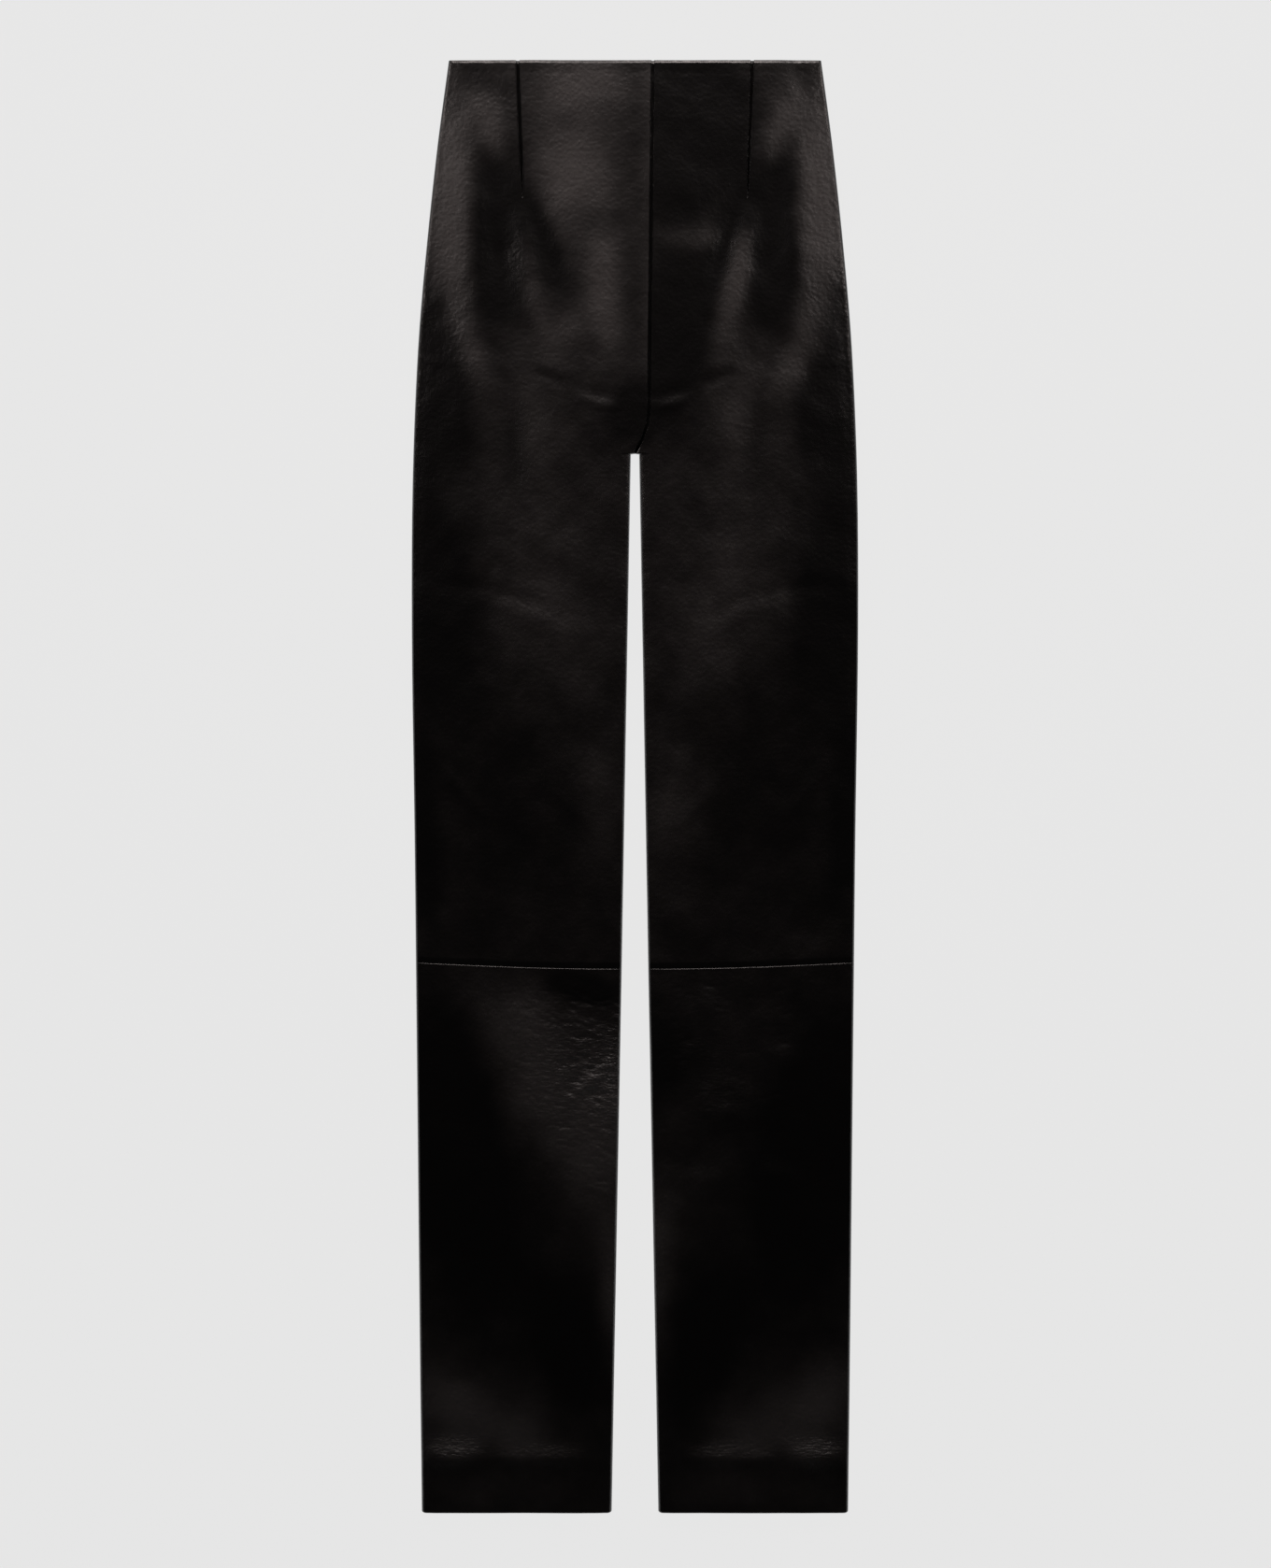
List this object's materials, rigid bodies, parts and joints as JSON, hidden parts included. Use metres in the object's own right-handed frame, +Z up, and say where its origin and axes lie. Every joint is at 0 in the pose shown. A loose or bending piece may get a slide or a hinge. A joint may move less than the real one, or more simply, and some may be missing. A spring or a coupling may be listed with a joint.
{
  "type": "high-waisted leather trousers laid flat",
  "caption": "High-waisted straight-leg leather trousers laid flat, with front darts, a centre seam, knee seams and turned-up hems.",
  "frame": {"origin": "on the surface the trousers lie on, under the middle of their length and width", "axes": "+Y towards the waist, +X towards the wearer's left leg, +Z up off the surface, out of the front"},
  "size_m": [0.3446, 1.12, 0.0064],
  "materials": {
    "front_leather": "smooth black nappa with a soft sheen",
    "back_leather": "smooth black nappa with a soft sheen"
  },
  "bodies": {
    "root": {"front_thigh_right": "front_leather", "front_thigh_left": "front_leather", "front_shin_right": "front_leather", "front_shin_left": "front_leather", "back_thigh_right": "back_leather", "back_thigh_left": "back_leather", "back_shin_right": "back_leather", "back_shin_left": "back_leather"}
  },
  "joints": []
}
